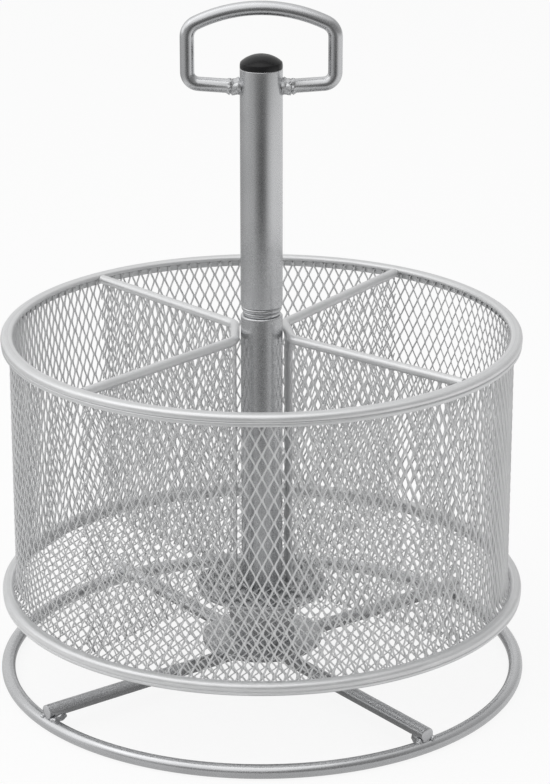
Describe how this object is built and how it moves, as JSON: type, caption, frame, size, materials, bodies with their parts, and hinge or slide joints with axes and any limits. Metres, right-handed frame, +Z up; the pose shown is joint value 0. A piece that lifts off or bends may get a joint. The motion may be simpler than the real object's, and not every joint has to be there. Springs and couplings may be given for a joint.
{
  "type": "rotating desk organizer",
  "caption": "Round silver mesh desk caddy with bent dividers, standing compartments and a carrying handle on a centre post, turning on a wire ring base.",
  "frame": {"origin": "on the desk, on the vertical axis that the basket turns about", "axes": "+Z up along the post; X along the handle; the picture looks along +Y"},
  "size_m": [0.193, 0.193, 0.2495],
  "materials": {
    "silver_paint": "satin",
    "mesh_paint": "satin",
    "cap_plastic": "satin",
    "bush_plastic": "matte",
    "plated_steel": "satin"
  },
  "bodies": {
    "base": {"base_ring": "silver_paint", "long_cross_rod": "silver_paint", "left_half_rod": "silver_paint", "right_half_rod": "silver_paint", "hub_plate": "silver_paint", "hub_tube": "silver_paint", "pivot_bush": "bush_plastic", "pivot_stud": "plated_steel", "pivot_washer": "plated_steel", "lock_nut": "plated_steel"},
    "basket": {"basket_floor_plate": "silver_paint", "floor_mesh": "mesh_paint", "wall_mesh": "mesh_paint", "top_rim": "mesh_paint", "bottom_rim": "mesh_paint", "left_divider_mesh": "mesh_paint", "left_divider_hem": "mesh_paint", "right_divider_mesh": "mesh_paint", "right_divider_hem": "mesh_paint", "lower_post": "silver_paint", "post_coupler": "plated_steel", "thread_insert": "plated_steel", "upper_post": "silver_paint", "post_cap": "cap_plastic", "handle": "silver_paint"}
  },
  "joints": [
    {"name": "basket_spin", "type": "hinge", "parent": "base", "child": "basket", "pos_m": [0, 0, 0.0311], "axis": [0, 0, 1], "continuous": true}
  ]
}
